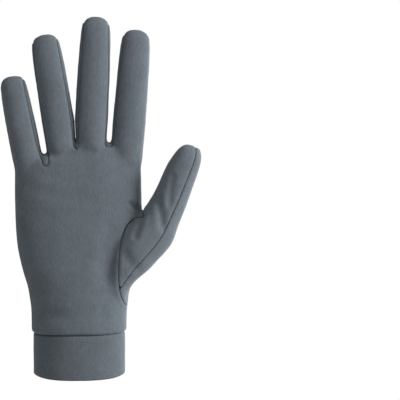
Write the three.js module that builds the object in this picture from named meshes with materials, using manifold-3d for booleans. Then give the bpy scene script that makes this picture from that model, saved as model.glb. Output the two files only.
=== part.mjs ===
// Thin knitted glove liner for a right hand, kept in the form that it has when worn.
// Frame: millimetres, +Z runs up the fingers, the palm faces -Y and the thumb side is +X.
// The origin is the middle of the wrist opening, level with the lower edge of the cuff.

import * as THREE from 'three';
import { mergeVertices } from 'three/addons/utils/BufferGeometryUtils.js';
import Module from 'manifold-3d';

const wasm = await Module();
wasm.setup();

// Cloth
const CLOTH_WALL = 1.4;
const CUFF_WALL = 2.2; // the band is folded double
const SEAM_GAP = 0.3;

// Cuff band
const CUFF_HEIGHT = 29.5;
const CUFF_WIDTH = 60.6;
const CUFF_DEPTH = 41;
const CUFF_INSET = 1.0; // how far the gathered body stands out past the band

// Wrist of the body, at the cuff seam
const WRIST_WIDTH = CUFF_WIDTH + 2 * CUFF_INSET;
const WRIST_DEPTH = CUFF_DEPTH + 2 * CUFF_INSET;

// Hand of the glove, from the cuff seam to the roots of the fingers
const PALM_LENGTH = 122.5;
const PALM_WIDTH = 84;
const PALM_DEPTH = 30;

// Thumb, with the ball that reaches down beside the palm
const THUMB_LENGTH = 118;
const THUMB_WIDTH = 22.6;
const THUMB_DEPTH = 19.5;

// Longest finger. The fingers' widths follow the palm's, since they stand side by side on it.
const FINGER_LENGTH = 94.4;
const FINGER_DEPTH = 18.4;

// Fingers, from the little one to the index. long, deep: shares of FINGER_LENGTH and FINGER_DEPTH.
// wide: share of PALM_WIDTH. across, up: where the axis starts, as shares of the palm's width
// and length. lean: tilt towards the thumb in degrees.
const FINGER_ROWS = [
  { long: 0.711, wide: 0.234, deep: 0.897, across: -0.371, up: 0.847, lean: -10.6 },
  { long: 0.902, wide: 0.25, deep: 0.967, across: -0.104, up: 0.918, lean: -9.0 },
  { long: 1.0, wide: 0.26, deep: 1.0, across: 0.085, up: 0.929, lean: 3.1 },
  { long: 0.929, wide: 0.256, deep: 0.989, across: 0.373, up: 0.918, lean: 4.7 },
];
const FINGER_FORWARD = 0.035; // bend of a finger towards the palm at its tip, share of its length

// Facets round each form
const HAND_SIDES = 36;
const FINGER_SIDES = 18;

// Hand sections. up: share of PALM_LENGTH. palm: 0 for the wrist's sizes, 1 for the palm's.
// left, right: shares of the width there. front, back: shares of the depth there, on the palm
// side and on the back. power: squareness.
const HAND_SECTIONS = [
  { up: 0.0, palm: 0.0, left: 0.5, right: 0.5, front: 0.5, back: 0.5, power: 2.2 },
  { up: 0.122, palm: 0.03, left: 0.5, right: 0.5, front: 0.495, back: 0.49, power: 2.2 },
  { up: 0.235, palm: 0.2, left: 0.5, right: 0.5, front: 0.495, back: 0.48, power: 2.25 },
  { up: 0.327, palm: 0.44, left: 0.51, right: 0.49, front: 0.51, back: 0.485, power: 2.3 },
  { up: 0.429, palm: 0.68, left: 0.51, right: 0.49, front: 0.52, back: 0.495, power: 2.4 },
  { up: 0.531, palm: 0.85, left: 0.507, right: 0.493, front: 0.52, back: 0.505, power: 2.4 },
  { up: 0.673, palm: 1.0, left: 0.498, right: 0.497, front: 0.5, back: 0.51, power: 2.4 },
  { up: 0.796, palm: 1.0, left: 0.5, right: 0.495, front: 0.455, back: 0.475, power: 2.4 },
  { up: 0.898, palm: 1.0, left: 0.5, right: 0.492, front: 0.4, back: 0.4, power: 2.4 },
  { up: 0.934, palm: 1.0, left: 0.468, right: 0.49, front: 0.37, back: 0.36, power: 2.3 },
  { up: 0.964, palm: 1.0, left: 0.32, right: 0.47, front: 0.34, back: 0.33, power: 2.2 },
  { up: 0.995, palm: 1.0, left: 0.22, right: 0.4, front: 0.28, back: 0.27, power: 2.2 },
];

// Finger sections. along: share of the finger's length. wide, deep: shares of its width and depth.
const FINGER_SECTIONS = [
  { along: 0.0, wide: 1.0, deep: 1.0 },
  { along: 0.16, wide: 1.0, deep: 1.06 },
  { along: 0.32, wide: 1.03, deep: 1.02 },
  { along: 0.45, wide: 1.01, deep: 0.98 },
  { along: 0.6, wide: 0.97, deep: 0.94 },
  { along: 0.76, wide: 0.95, deep: 0.88 },
  { along: 0.88, wide: 0.91, deep: 0.8 },
  { along: 0.95, wide: 0.83, deep: 0.66 },
  { along: 0.985, wide: 0.65, deep: 0.46 },
  { along: 1.0, wide: 0.42, deep: 0.28 },
];
const FINGER_POWER = 2.3;

// Thumb sections, from the foot of the ball to the tip. across, forward, up: shares of
// THUMB_LENGTH from the foot. lean: tilt in degrees. wide, deep: shares of the thumb's sizes.
const THUMB_FOOT = { across: 0.22, forward: 0.1, up: 0.163 };
const THUMB_SECTIONS = [
  { across: 0.0, forward: 0.0, up: 0.0, lean: 18, wide: 0.8, deep: 1.1 },
  { across: 0.062, forward: 0.016, up: 0.155, lean: 30, wide: 1.0, deep: 1.4 },
  { across: 0.157, forward: 0.03, up: 0.288, lean: 38, wide: 1.32, deep: 1.46 },
  { across: 0.248, forward: 0.038, up: 0.39, lean: 35, wide: 1.34, deep: 1.32 },
  { across: 0.304, forward: 0.05, up: 0.486, lean: 28, wide: 1.13, deep: 1.12 },
  { across: 0.364, forward: 0.066, up: 0.611, lean: 23, wide: 1.0, deep: 1.0 },
  { across: 0.407, forward: 0.08, up: 0.725, lean: 22, wide: 0.95, deep: 0.94 },
  { across: 0.444, forward: 0.089, up: 0.805, lean: 22, wide: 0.85, deep: 0.8 },
  { across: 0.469, forward: 0.093, up: 0.857, lean: 22, wide: 0.67, deep: 0.6 },
  { across: 0.482, forward: 0.095, up: 0.882, lean: 22, wide: 0.42, deep: 0.34 },
];
const THUMB_POWER = 2.15;

// Seams between a finger's main cloth and the side strips, as shares of half the finger's
// width: towards the little finger and towards the thumb, on the palm side and on the back.
const STRIP_SEAM = {
  palm: { toLittle: 0.72, toThumb: 0.86 },
  back: { toLittle: 0.92, toThumb: 0.64 },
  tip: 0.72,
};
const STRIP_TURN = 0.6; // where the seams start to close in on their place at the tip
const STRIP_END = 0.93; // where they reach it, both as shares of the finger's length
const STRIP_BELOW_FORK = 3.2; // how deep the strip's loop goes under the fork of two fingers
const LOOP_FACETS = 6;

// Height of the forks between the fingers, share of PALM_LENGTH
const FORKS = [
  { name: 'fourchette_ring_little', up: 0.923 },
  { name: 'fourchette_middle_ring', up: 0.992 },
  { name: 'fourchette_index_middle', up: 1.002 },
];

// Lines where palm and back meet, from the wrist to the finger: a seam on the little finger's
// side, and the cloth's fold on the index finger's side.
// up: share of PALM_LENGTH. forward: share of PALM_DEPTH, towards the palm side.
const SIDE_SEAM = [
  { up: -0.071, forward: 0.17 },
  { up: 0.367, forward: 0.17 },
  { up: 0.653, forward: 0.0 },
  { up: 0.837, forward: 0.0 },
];
const SIDE_FOLD = [
  { up: -0.071, forward: 0.0 },
  { up: 0.898, forward: 0.0 },
];
const TIP_SEAM_FROM = 0.8; // where the seam over a fingertip starts, share of the finger's length
const TIP_SEAM_REACH = 0.6; // half its length, share of the finger's width

// Seam of the thumb hole, from the wrist up to the crotch of the thumb.
// across: share of PALM_WIDTH, up: share of PALM_LENGTH.
const HOLE_SEAM_PALM = [
  { across: 0.385, up: 0.117 },
  { across: 0.357, up: 0.158 },
  { across: 0.33, up: 0.204 },
  { across: 0.312, up: 0.255 },
  { across: 0.306, up: 0.327 },
  { across: 0.309, up: 0.398 },
  { across: 0.318, up: 0.464 },
  { across: 0.34, up: 0.536 },
  { across: 0.375, up: 0.59 },
  { across: 0.44, up: 0.627 },
  { across: 0.494, up: 0.638 },
];
const HOLE_SEAM_BACK = [
  { across: 0.385, up: 0.117 },
  { across: 0.398, up: 0.184 },
  { across: 0.414, up: 0.286 },
  { across: 0.43, up: 0.388 },
  { across: 0.45, up: 0.49 },
  { across: 0.474, up: 0.571 },
  { across: 0.494, up: 0.638 },
];
// Where that seam turns to the back, share of PALM_DEPTH in front of the middle
const HOLE_SEAM_FOLD = 0.13;

// Cuff sections, from the hem up. up: share of CUFF_HEIGHT. wide: share of the cuff's sizes.
const CUFF_SECTIONS = [
  { up: 0.0, wide: 0.985 },
  { up: 0.06, wide: 1.0 },
  { up: 0.5, wide: 0.998 },
  { up: 1.0, wide: 0.994 },
];
const CUFF_POWER = 2.2;

// Seams that part the thumb's two panels, on the rows of THUMB_SECTIONS. row: row number,
// side: share of half the thumb's width there, positive away from the palm.
const THUMB_SEAM_PALM = [
  { row: 0, side: 0.3 },
  { row: 1, side: 0.42 },
  { row: 2, side: 0.42 },
  { row: 3, side: 0.42 },
  { row: 4, side: 0.42 },
  { row: 5, side: 0.42 },
  { row: 6, side: 0.46 },
  { row: 7, side: 0.48 },
  { row: 8, side: 0.42 },
  { row: 9, side: 0.3 },
];
const THUMB_SEAM_BACK = [
  { row: 2, side: -0.3 },
  { row: 3, side: -0.5 },
  { row: 4, side: -0.6 },
  { row: 5, side: -0.42 },
  { row: 6, side: -0.3 },
  { row: 7, side: -0.2 },
  { row: 8, side: 0.0 },
  { row: 9, side: 0.3 },
];

const THUMB_FOLD_ROW = 5; // row whose middle parts the palm side's seam from the back's

// Room that the cutting solids take past the part, and how far their two halves overlap
const REACH = 2 * PALM_WIDTH;
const LAP = 0.01;

const handHeight = (up) => CUFF_HEIGHT + up * PALM_LENGTH;

const FINGERS = FINGER_ROWS.map((row) => ({
  length: row.long * FINGER_LENGTH,
  width: row.wide * PALM_WIDTH,
  depth: row.deep * FINGER_DEPTH,
  rootX: row.across * PALM_WIDTH,
  rootZ: handHeight(row.up),
  lean: row.lean,
  tilt: THREE.MathUtils.degToRad(row.lean),
}));

function solidOf(geometry) {
  const bare = geometry.clone();
  bare.deleteAttribute('normal');
  bare.deleteAttribute('uv');
  const merged = mergeVertices(bare, 1e-5);
  return new wasm.Manifold(new wasm.Mesh({
    numProp: 3,
    vertProperties: new Float32Array(merged.attributes.position.array),
    triVerts: new Uint32Array(merged.index.array),
  }));
}

// Point of a section: u runs across it, v runs from the palm side to the back.
function sectionPoint(section, u, v) {
  const tilt = THREE.MathUtils.degToRad(section.lean);
  return new THREE.Vector3(
    section.x + u * Math.cos(tilt),
    section.y + v,
    section.z - u * Math.sin(tilt),
  );
}

// Closed form through rounded sections, from the lowest to the highest.
function loft(sections, sides) {
  const points = [];
  const faces = [];
  for (const section of sections) {
    for (let k = 0; k < sides; k += 1) {
      const angle = (2 * Math.PI * k) / sides;
      const round = (value) => Math.sign(value) * Math.abs(value) ** (2 / section.power);
      const deep = Math.sin(angle) < 0 ? section.front : section.back;
      const u = section.half * round(Math.cos(angle));
      points.push(sectionPoint(section, u, deep * round(Math.sin(angle))));
    }
  }
  const last = sections.length - 1;
  const foot = points.push(sectionPoint(sections[0], 0, 0)) - 1;
  const crown = points.push(sectionPoint(sections[last], 0, 0)) - 1;
  for (let k = 0; k < sides; k += 1) {
    const next = (k + 1) % sides;
    for (let i = 0; i < last; i += 1) {
      const low = i * sides;
      const high = low + sides;
      faces.push(low + k, low + next, high + next);
      faces.push(low + k, high + next, high + k);
    }
    faces.push(foot, next, k);
    faces.push(crown, last * sides + k, last * sides + next);
  }
  const geometry = new THREE.BufferGeometry().setFromPoints(points);
  geometry.setIndex(faces);
  return solidOf(geometry);
}

// Upright prism on an outline of (x, z) points, between two depths.
function prism(outline, yFrom, yTo) {
  const shape = new THREE.Shape(outline);
  const geometry = new THREE.ExtrudeGeometry(shape, { depth: yTo - yFrom, bevelEnabled: false });
  geometry.rotateX(Math.PI / 2);
  geometry.translate(0, yTo, 0);
  return solidOf(geometry);
}

// Hand, from the cuff seam to the forks. shrink makes the hollow inside the wall.
function handSections(shrink) {
  const sections = HAND_SECTIONS.map((row) => {
    const width = THREE.MathUtils.lerp(WRIST_WIDTH, PALM_WIDTH, row.palm);
    const depth = THREE.MathUtils.lerp(WRIST_DEPTH, PALM_DEPTH, row.palm);
    return {
      x: ((row.right - row.left) * width) / 2,
      y: 0,
      z: handHeight(row.up),
      lean: 0,
      half: ((row.left + row.right) * width) / 2 - shrink,
      front: row.front * depth - shrink,
      back: row.back * depth - shrink,
      power: row.power,
    };
  });
  sections[0].z += shrink > 0 ? -SEAM_GAP : SEAM_GAP;
  sections[sections.length - 1].z -= shrink;
  return sections;
}

function fingerSections(finger, shrink) {
  return FINGER_SECTIONS.map((row) => {
    const along = row.along * finger.length - (row.along > 0.9 ? shrink : 0);
    return {
      x: finger.rootX + along * Math.sin(finger.tilt),
      y: -FINGER_FORWARD * finger.length * row.along ** 2,
      z: finger.rootZ + along * Math.cos(finger.tilt),
      lean: finger.lean,
      half: (row.wide * finger.width) / 2 - shrink,
      front: (row.deep * finger.depth) / 2 - shrink,
      back: (row.deep * finger.depth) / 2 - shrink,
      power: FINGER_POWER,
    };
  });
}

function thumbSections(shrink) {
  return THUMB_SECTIONS.map((row, i) => {
    const tilt = THREE.MathUtils.degToRad(row.lean);
    const drop = i >= THUMB_SECTIONS.length - 3 ? shrink : 0;
    const half = (row.wide * THUMB_WIDTH) / 2 - shrink;
    const deep = (row.deep * THUMB_DEPTH) / 2 - shrink;
    return {
      x: THUMB_FOOT.across * PALM_WIDTH + row.across * THUMB_LENGTH - drop * Math.sin(tilt),
      y: -THUMB_FOOT.forward * PALM_DEPTH - row.forward * THUMB_LENGTH,
      z: handHeight(THUMB_FOOT.up) + row.up * THUMB_LENGTH - drop * Math.cos(tilt),
      lean: row.lean,
      half,
      front: deep,
      back: deep,
      power: THUMB_POWER,
    };
  });
}

// Whole form of the hand with its fingers and thumb.
function handForm(shrink) {
  let form = loft(handSections(shrink), HAND_SIDES);
  for (const finger of FINGERS) {
    form = form.add(loft(fingerSections(finger, shrink), FINGER_SIDES));
  }
  return form.add(loft(thumbSections(shrink), FINGER_SIDES));
}

// Line of a finger's seam on one side, from the fork up past the tip. side is 1 towards the
// thumb and -1 towards the little finger. grow widens the strip.
function stripSeam(finger, share, side, forkHeight, grow) {
  const { rootX, rootZ, tilt } = finger;
  const offset = (held) => side * ((held * finger.width) / 2 - grow);
  const start = (forkHeight - rootZ + offset(share) * Math.sin(tilt)) / Math.cos(tilt);
  const stops = [
    { along: start, held: share },
    { along: STRIP_TURN * finger.length, held: share },
    { along: STRIP_END * finger.length, held: STRIP_SEAM.tip },
    { along: finger.length + CLOTH_WALL, held: STRIP_SEAM.tip },
  ];
  return stops.map(({ along, held }) => new THREE.Vector2(
    rootX + along * Math.sin(tilt) + offset(held) * Math.cos(tilt),
    rootZ + along * Math.cos(tilt) - offset(held) * Math.sin(tilt),
  ));
}

// Outline of a side strip seen from the front: down one finger, round the fork, up the other.
function stripOutline(lower, upper, face, fork, grow) {
  const forkHeight = handHeight(fork.up);
  const down = stripSeam(lower, STRIP_SEAM[face].toThumb, 1, forkHeight, grow).reverse();
  const up = stripSeam(upper, STRIP_SEAM[face].toLittle, -1, forkHeight, grow);
  const from = down[down.length - 1].x;
  const to = up[0].x;
  const loop = [];
  for (let i = 1; i < LOOP_FACETS; i += 1) {
    const angle = Math.PI * (1 + i / LOOP_FACETS);
    loop.push(new THREE.Vector2(
      (from + to) / 2 + ((to - from) / 2) * Math.cos(angle),
      forkHeight + (STRIP_BELOW_FORK + grow) * Math.sin(angle),
    ));
  }
  return [...down, ...loop, ...up];
}

function stripCutter(lower, upper, fork, grow) {
  const fold = -0.4 * FINGER_FORWARD * Math.min(lower.length, upper.length);
  const palm = prism(stripOutline(lower, upper, 'palm', fork, grow), -REACH, fold + LAP);
  const back = prism(stripOutline(lower, upper, 'back', fork, grow), fold - LAP, REACH);
  return palm.add(back);
}

const holePoint = (row) => new THREE.Vector2(row.across * PALM_WIDTH, handHeight(row.up));

// Line pushed sideways by a distance, to the right of its own direction when positive.
function pushed(line, distance) {
  return line.map((point, i) => {
    const before = line[Math.max(i - 1, 0)];
    const after = line[Math.min(i + 1, line.length - 1)];
    const way = after.clone().sub(before).normalize();
    return new THREE.Vector2(point.x + way.y * distance, point.y - way.x * distance);
  });
}

// Thin upright wall of the seam's width that follows a line of (y, z) points across the hand.
function seamWall(line, xFrom, xTo) {
  const half = SEAM_GAP / 2;
  const shape = new THREE.Shape([...pushed(line, half), ...pushed(line, -half).reverse()]);
  const geometry = new THREE.ExtrudeGeometry(shape, { depth: xTo - xFrom, bevelEnabled: false });
  const [x, y, z] = [[1, 0, 0], [0, 1, 0], [0, 0, 1]].map((axis) => new THREE.Vector3(...axis));
  geometry.applyMatrix4(new THREE.Matrix4().makeBasis(y, z, x));
  geometry.translate(xFrom, 0, 0);
  return solidOf(geometry);
}

// Points (y, z) on a finger's axis, from a share of its length up past the tip.
function axisLine(finger, from) {
  const shares = [0.2, 0.4, 0.6, 0.8, 0.92, 1, 1.1].filter((share) => share >= from);
  return shares.map((share) => new THREE.Vector2(
    -FINGER_FORWARD * finger.length * share ** 2,
    finger.rootZ + share * finger.length * Math.cos(finger.tilt),
  ));
}

// Wall between palm and back: down both sides of the hand and over each fingertip.
function sideCutter() {
  const sides = [
    { line: SIDE_SEAM, finger: FINGERS[0], outwards: -1 },
    { line: SIDE_FOLD, finger: FINGERS.at(-1), outwards: 1 },
  ];
  const walls = sides.flatMap(({ line, finger, outwards }) => {
    const hand = line.map((row) => new THREE.Vector2(-row.forward * PALM_DEPTH, handHeight(row.up)));
    const middleX = finger.rootX + (finger.length / 2) * Math.sin(finger.tilt);
    const axis = axisLine(finger, 0.2);
    return [
      seamWall([...hand, axis[0]], ...[finger.rootX / 2, outwards * REACH].sort((a, b) => a - b)),
      seamWall([hand.at(-1), ...axis], ...[middleX, outwards * REACH].sort((a, b) => a - b)),
    ];
  });
  for (const finger of FINGERS) {
    const tipX = finger.rootX + finger.length * Math.sin(finger.tilt);
    const reach = TIP_SEAM_REACH * finger.width;
    walls.push(seamWall(axisLine(finger, TIP_SEAM_FROM), tipX - reach, tipX + reach));
  }
  return walls.reduce((joined, wall) => joined.add(wall));
}

// Everything on the thumb's side of the thumb hole's seam.
function holeCutter(grow) {
  const thumbTop = thumbSections(0).at(-1).z;
  const region = (rows) => {
    const seam = pushed(rows.map(holePoint), -grow);
    const low = seam[0];
    const high = seam[seam.length - 1];
    return [
      ...seam,
      new THREE.Vector2(high.x + 0.1 * PALM_WIDTH, thumbTop + CLOTH_WALL),
      new THREE.Vector2(REACH, thumbTop + THUMB_LENGTH / 2),
      new THREE.Vector2(REACH, low.y),
    ].reverse();
  };
  const fold = -HOLE_SEAM_FOLD * PALM_DEPTH;
  return prism(region(HOLE_SEAM_PALM), -REACH, fold + LAP)
    .add(prism(region(HOLE_SEAM_BACK), fold - LAP, REACH));
}

// Everything on the palm's side of the seam between the thumb's two panels.
function thumbInnerCutter(shift) {
  const sections = thumbSections(0);
  const fold = sections[THUMB_FOLD_ROW].y;
  const region = (rows) => {
    const line = rows.map(({ row, side }) => {
      const at = sectionPoint(sections[row], side * sections[row].half, 0);
      return new THREE.Vector2(at.x, at.z);
    });
    const [before, last] = line.slice(-2);
    line.push(last.clone().add(last.clone().sub(before).setLength(THUMB_WIDTH)));
    const seam = pushed(line, shift);
    return [
      ...seam,
      new THREE.Vector2(-REACH, seam[seam.length - 1].y),
      new THREE.Vector2(-REACH, seam[0].y),
    ];
  };
  return prism(region(THUMB_SEAM_PALM), -REACH, fold + LAP)
    .add(prism(region(THUMB_SEAM_BACK), fold - LAP, REACH));
}

function cuffSections(shrink) {
  const past = shrink > 0 ? SEAM_GAP : 0;
  const last = CUFF_SECTIONS.length - 1;
  return CUFF_SECTIONS.map((row, i) => ({
    x: 0,
    y: 0,
    z: row.up * CUFF_HEIGHT + (i === 0 ? -past : 0) + (i === last ? past : 0),
    lean: 0,
    half: (row.wide * CUFF_WIDTH) / 2 - shrink,
    front: (row.wide * CUFF_DEPTH) / 2 - shrink,
    back: (row.wide * CUFF_DEPTH) / 2 - shrink,
    power: CUFF_POWER,
  }));
}

const halfGap = SEAM_GAP / 2;
const shell = handForm(0).subtract(handForm(CLOTH_WALL));

let body = shell.subtract(holeCutter(halfGap)).subtract(sideCutter());
const strips = FORKS.map((fork, i) => {
  const [lower, upper] = [FINGERS[i], FINGERS[i + 1]];
  body = body.subtract(stripCutter(lower, upper, fork, halfGap));
  return { name: fork.name, solid: shell.intersect(stripCutter(lower, upper, fork, -halfGap)) };
});
const middleY = (solid) => solid.boundingBox().min[1] + solid.boundingBox().max[1];
const [palm, back] = body.decompose().sort((a, b) => middleY(a) - middleY(b));
const thumb = shell.intersect(holeCutter(-halfGap));
const cuff = loft(cuffSections(0), HAND_SIDES).subtract(loft(cuffSections(CUFF_WALL), HAND_SIDES));

const pieces = [
  { name: 'palm_panel', solid: palm, color: 0x5e656c },
  { name: 'back_panel', solid: back, color: 0x5e656c },
  ...strips.map((strip) => ({ ...strip, color: 0x545b62 })),
  { name: 'thumb_inner', solid: thumb.intersect(thumbInnerCutter(-halfGap)), color: 0x585f66 },
  { name: 'thumb_outer', solid: thumb.subtract(thumbInnerCutter(halfGap)), color: 0x646b72 },
  { name: 'cuff_band', solid: cuff, color: 0x565c63 },
];

const glove = new THREE.Group();
glove.name = 'glove_liner';
for (const piece of pieces) {
  const { vertProperties, triVerts } = piece.solid.getMesh();
  const geometry = new THREE.BufferGeometry();
  geometry.setAttribute('position', new THREE.BufferAttribute(vertProperties, 3));
  geometry.setIndex(new THREE.BufferAttribute(triVerts, 1));
  geometry.computeVertexNormals();
  const material = new THREE.MeshStandardMaterial({ color: piece.color, roughness: 0.95, metalness: 0 });
  const mesh = new THREE.Mesh(geometry, material);
  mesh.name = piece.name;
  glove.add(mesh);
}

export default glove;
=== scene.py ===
# %% [markdown]
# # A knitted glove liner
# This lesson dresses a measured glove: thin brushed knit for a right hand, in the form it has
# on the hand. The real one is cut from flat cloth: a main piece folded round the index side,
# strips between the fingers, two panels for the thumb and a wrist band folded double. The
# panels meet in turned seams, so every edge is a small rolled rim that dives into a groove.
# We could model each panel by itself, but their edges would never line up. So the whole hand
# is made once as one smooth skin, the seams are drawn on it, and the skin is parted there.

# %% Load the measured frame
import math
import bpy
import numpy as np
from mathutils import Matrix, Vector, kdtree, noise


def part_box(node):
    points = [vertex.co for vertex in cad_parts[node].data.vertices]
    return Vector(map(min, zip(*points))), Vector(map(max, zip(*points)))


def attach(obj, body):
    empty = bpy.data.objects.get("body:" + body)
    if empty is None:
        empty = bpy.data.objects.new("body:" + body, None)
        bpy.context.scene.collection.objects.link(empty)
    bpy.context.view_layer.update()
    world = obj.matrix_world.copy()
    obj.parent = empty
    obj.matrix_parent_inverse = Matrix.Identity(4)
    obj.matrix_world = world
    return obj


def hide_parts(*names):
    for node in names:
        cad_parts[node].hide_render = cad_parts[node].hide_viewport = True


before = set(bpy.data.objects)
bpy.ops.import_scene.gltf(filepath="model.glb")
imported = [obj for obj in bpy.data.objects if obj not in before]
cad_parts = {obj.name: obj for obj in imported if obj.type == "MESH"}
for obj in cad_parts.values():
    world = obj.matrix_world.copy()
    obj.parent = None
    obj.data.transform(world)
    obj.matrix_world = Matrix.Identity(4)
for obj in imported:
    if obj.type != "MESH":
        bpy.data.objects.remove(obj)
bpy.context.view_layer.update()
MM = 0.001
scene = bpy.context.scene
CUFF_LOW, CUFF_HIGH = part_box("cuff_band")
print("frame nodes:", sorted(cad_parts))

# %% [markdown]
# The camera and the floor come first, so that each step can be looked at. The photograph shows
# the palm from straight in front and a little above the cuff, far enough away that the fingers
# hardly converge. The glove fills the left half of a square picture, so the camera stands in
# front of the hand and looks past its thumb. The glove keeps its form in the air, as round an
# unseen hand, so the floor is a pale plane far below.

# %% Camera and floor
PHOTO_PIXEL = 0.663 * MM  # size of one photo pixel at the glove
PHOTO_SIDE = 400
CAMERA_DISTANCE = 1.15
CAMERA_PLACE = Vector((0.012, -CAMERA_DISTANCE, 0.205))
PHOTO_CENTRE = Vector((80.3 * MM, 0.0, 117.0 * MM))
FLOOR_DROP = 1.3
FLOOR_REACH = 3.5
FLOOR_GLOW = 0.8  # like paper lit from behind. Only the camera sees it, the glove gets no light


def add_camera():
    data = bpy.data.cameras.new("camera")
    camera = bpy.data.objects.new("camera", data)
    scene.collection.objects.link(camera)
    camera.location = CAMERA_PLACE
    way = PHOTO_CENTRE - CAMERA_PLACE
    camera.rotation_euler = way.to_track_quat("-Z", "Y").to_euler()
    data.sensor_width = 36.0
    data.lens = data.sensor_width * way.length / (PHOTO_SIDE * PHOTO_PIXEL)
    scene.camera = camera
    print("lens", round(data.lens, 1), "mm")


def add_floor():
    mesh = bpy.data.meshes.new("floor")
    corners = [(-1, -1), (1, -1), (1, 1), (-1, 1)]
    places = [(x * FLOOR_REACH, y * FLOOR_REACH, -FLOOR_DROP) for x, y in corners]
    mesh.from_pydata(places, [], [(0, 1, 2, 3)])
    floor = bpy.data.objects.new("floor", mesh)
    scene.collection.objects.link(floor)
    material = bpy.data.materials.new("floor")
    material.use_nodes = True
    shader = material.node_tree.nodes["Principled BSDF"]
    shader.inputs["Base Color"].default_value = (0.9, 0.9, 0.9, 1)
    shader.inputs["Roughness"].default_value = 0.9
    nodes, links = material.node_tree.nodes, material.node_tree.links
    rays, glow = nodes.new("ShaderNodeLightPath"), nodes.new("ShaderNodeMath")
    glow.operation = "MULTIPLY"
    glow.inputs[1].default_value = FLOOR_GLOW
    links.new(rays.outputs["Is Camera Ray"], glow.inputs[0])
    shader.inputs["Emission Color"].default_value = (1, 1, 1, 1)
    links.new(glow.outputs["Value"], shader.inputs["Emission Strength"])
    mesh.materials.append(material)


add_camera()
add_floor()

# %% [markdown]
# A studio shot on white has one large soft light and much bounce. Here the light comes from the
# right: the thumb and the right edges are the brightest, the little finger's side the darkest.
# The world is white to the camera but dimmer as a lamp, which keeps the folds readable.

# %% Light
WORLD_LIGHT = 0.36
LAMPS = {
    "key": {"place": (1.45, -0.62, 0.75), "size": 0.7, "power": 33.0},
    "front": {"place": (0.1, -0.36, 0.52), "size": 0.3, "power": 0.22},
    "rim": {"place": (0.9, 0.9, 0.35), "size": 0.7, "power": 10.0},
}
LIT_POINT = Vector((0.01, 0.0, 0.13))


def add_lamp(name, place, size, power):
    data = bpy.data.lights.new(name, "AREA")
    data.shape = "DISK"
    data.size = size
    data.energy = power
    lamp = bpy.data.objects.new(name, data)
    lamp.location = place
    lamp.rotation_euler = (LIT_POINT - Vector(place)).to_track_quat("-Z", "Y").to_euler()
    scene.collection.objects.link(lamp)


def light_world():
    world = bpy.data.worlds.new("studio")
    world.use_nodes = True
    nodes, links = world.node_tree.nodes, world.node_tree.links
    background = nodes["Background"]
    background.inputs["Color"].default_value = (1, 1, 1, 1)
    rays = nodes.new("ShaderNodeLightPath")
    strength = nodes.new("ShaderNodeMapRange")
    strength.inputs["To Min"].default_value = WORLD_LIGHT
    strength.inputs["To Max"].default_value = 1.0
    links.new(rays.outputs["Is Camera Ray"], strength.inputs["Value"])
    links.new(strength.outputs["Result"], background.inputs["Strength"])
    scene.world = world
    scene.view_settings.view_transform = "Standard"


light_world()
for lamp_name, lamp in LAMPS.items():
    add_lamp(lamp_name, lamp["place"], lamp["size"], lamp["power"])
print("lamps:", list(LAMPS))

# %% [markdown]
# The form of the hand is a few tables of rounded sections: the hand from the cuff to the forks
# of the fingers, one shared finger profile, and the thumb with its ball. A section is a
# squarish oval, so a table row needs only a height, two widths and two depths. The rows are
# shares of real sizes in millimetres. Between the rows each column runs on a smooth curve that
# never overshoots, which keeps the fingertips square-shouldered as the sewn ones are.

# %% Sizes of the hand, in millimetres
CUFF_HEIGHT = CUFF_HIGH.z / MM
OVERHANG = 1.0  # by which the glove's edge stands out over the band all round
WRIST_WIDTH = (CUFF_HIGH.x - CUFF_LOW.x) / MM + 2 * OVERHANG
WRIST_DEPTH = (CUFF_HIGH.y - CUFF_LOW.y) / MM + 2 * OVERHANG
PALM_LENGTH = 122.5
PALM_WIDTH = 84.0
PALM_DEPTH = 30.0
THUMB_LENGTH = 118.0
THUMB_WIDTH = 22.6
THUMB_DEPTH = 19.5

# up, palm share, left, right, front, back, power
HAND_ROWS = [
    (0.0, 0.0, 0.5, 0.5, 0.5, 0.5, 2.2),
    (0.122, 0.03, 0.5, 0.5, 0.495, 0.49, 2.2),
    (0.235, 0.2, 0.5, 0.5, 0.495, 0.48, 2.25),
    (0.327, 0.44, 0.51, 0.49, 0.51, 0.485, 2.3),
    (0.429, 0.68, 0.51, 0.49, 0.52, 0.495, 2.4),
    (0.531, 0.85, 0.507, 0.493, 0.52, 0.505, 2.4),
    (0.673, 1.0, 0.498, 0.497, 0.5, 0.51, 2.4),
    (0.796, 1.0, 0.5, 0.495, 0.455, 0.475, 2.4),
    (0.898, 1.0, 0.5, 0.492, 0.4, 0.4, 2.4),
    (0.934, 1.0, 0.468, 0.49, 0.37, 0.36, 2.3),
    (0.964, 1.0, 0.25, 0.46, 0.34, 0.33, 2.2),
    (1.02, 1.0, 0.15, 0.36, 0.24, 0.23, 2.2),
]
# name: length, width, depth, root across, root up, lean in degrees
FINGERS = {
    "little": (67.1, 19.7, 16.5, -0.371, 0.847, -10.6),
    "ring": (85.2, 21.4, 17.8, -0.104, 0.918, -9.0),
    "middle": (94.6, 21.8, 18.4, 0.085, 0.929, 3.1),
    "index": (87.7, 21.5, 18.2, 0.373, 0.918, 4.7),
}
FINGER_FORWARD = 0.035
# half of a gap between fingers at least: for the melting, and in the end, where neighbours touch
ROOM, SLIT = 1.75, -0.12
FINGER_POWER = 2.3
# along, wide, deep
FINGER_ROWS = [
    (0.0, 0.98, 1.0),
    (0.16, 0.99, 1.06),
    (0.32, 1.01, 1.02),
    (0.45, 1.0, 0.98),
    (0.6, 0.97, 0.94),
    (0.76, 0.95, 0.88),
    (0.88, 0.9, 0.79),
    (0.935, 0.84, 0.68),
    (0.968, 0.72, 0.54),
    (0.988, 0.54, 0.4),
    (1.0, 0.3, 0.22),
]
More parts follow.
